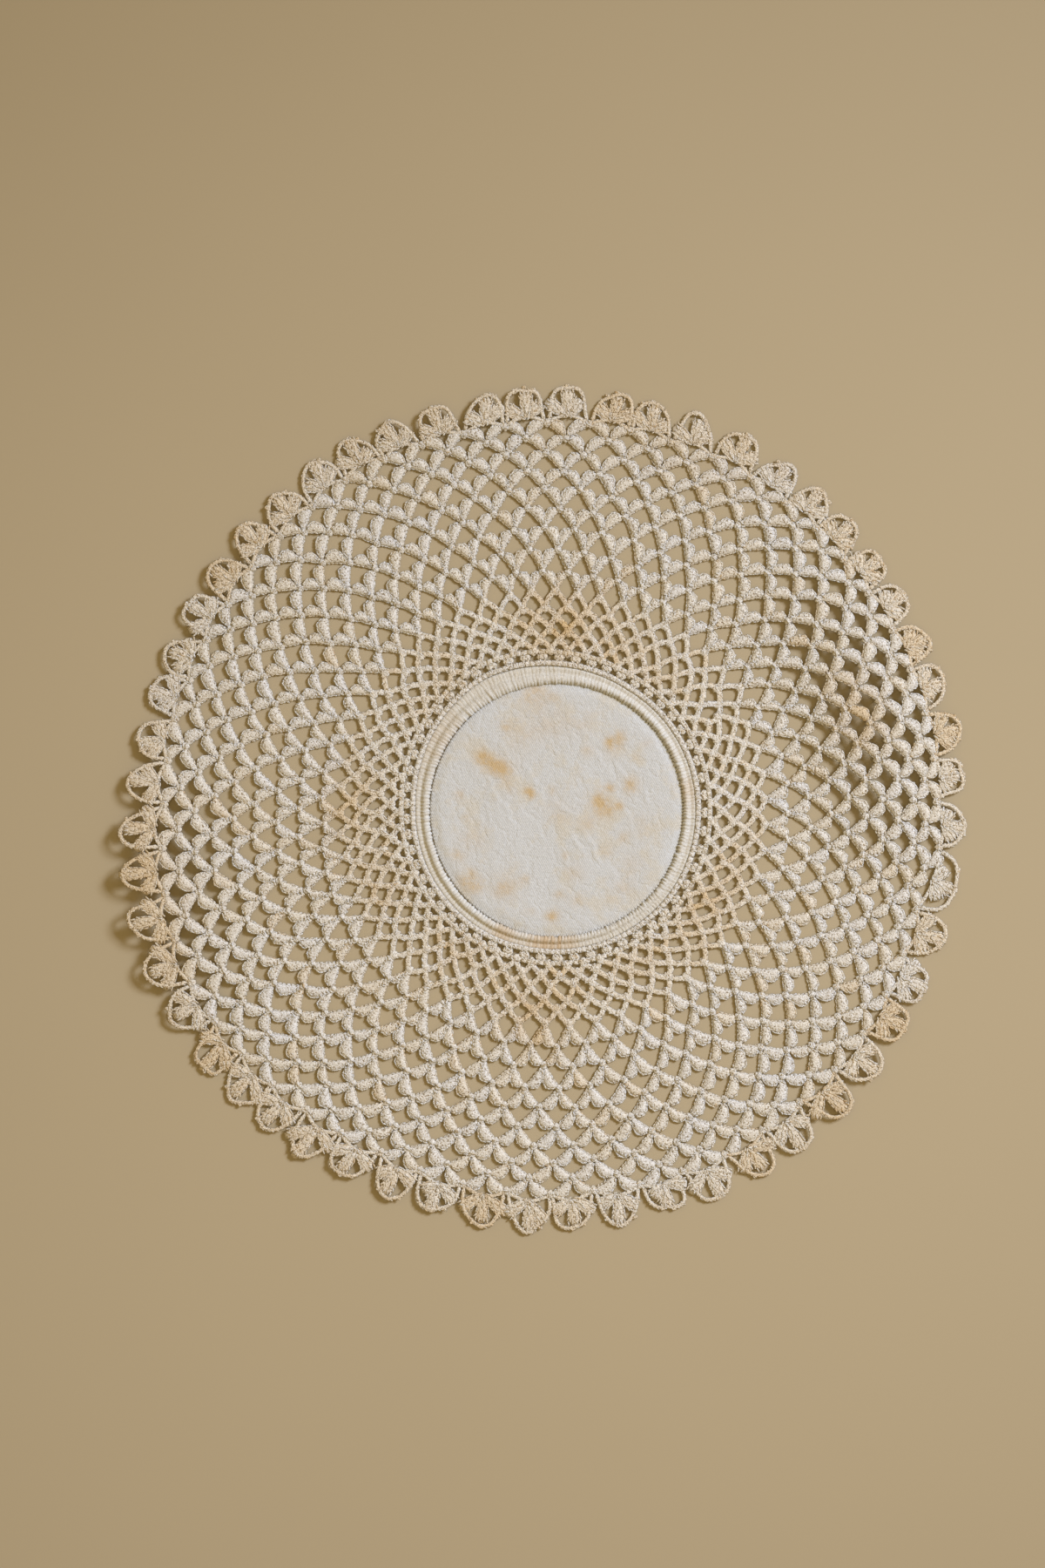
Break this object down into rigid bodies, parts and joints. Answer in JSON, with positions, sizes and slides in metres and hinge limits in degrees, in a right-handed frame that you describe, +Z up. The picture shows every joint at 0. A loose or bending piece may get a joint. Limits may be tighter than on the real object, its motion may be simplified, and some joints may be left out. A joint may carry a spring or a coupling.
{
  "type": "lace doily",
  "caption": "Round table doily lying flat: a plain cotton disc in a padded stitched ring, edged with crochet net and a scalloped rim.",
  "frame": {"origin": "centre of the cotton disc's underside, on the surface that the doily lies on", "axes": "+Z up from the surface; +Y to the picture's top and +X to its right, so the rim's widest lift is towards -X"},
  "size_m": [0.2801, 0.2809, 0.0076],
  "materials": {
    "white_cotton": "close twill-woven white cotton with soft tan age stains",
    "ring_thread": "cream cotton thread in close radial stitches over a cord",
    "lace_thread": "matt cream crochet cotton, aged towards tan in patches"
  },
  "bodies": {
    "root": {"centre_cloth": "white_cotton", "ring": "ring_thread", "lace": "lace_thread"}
  },
  "joints": []
}
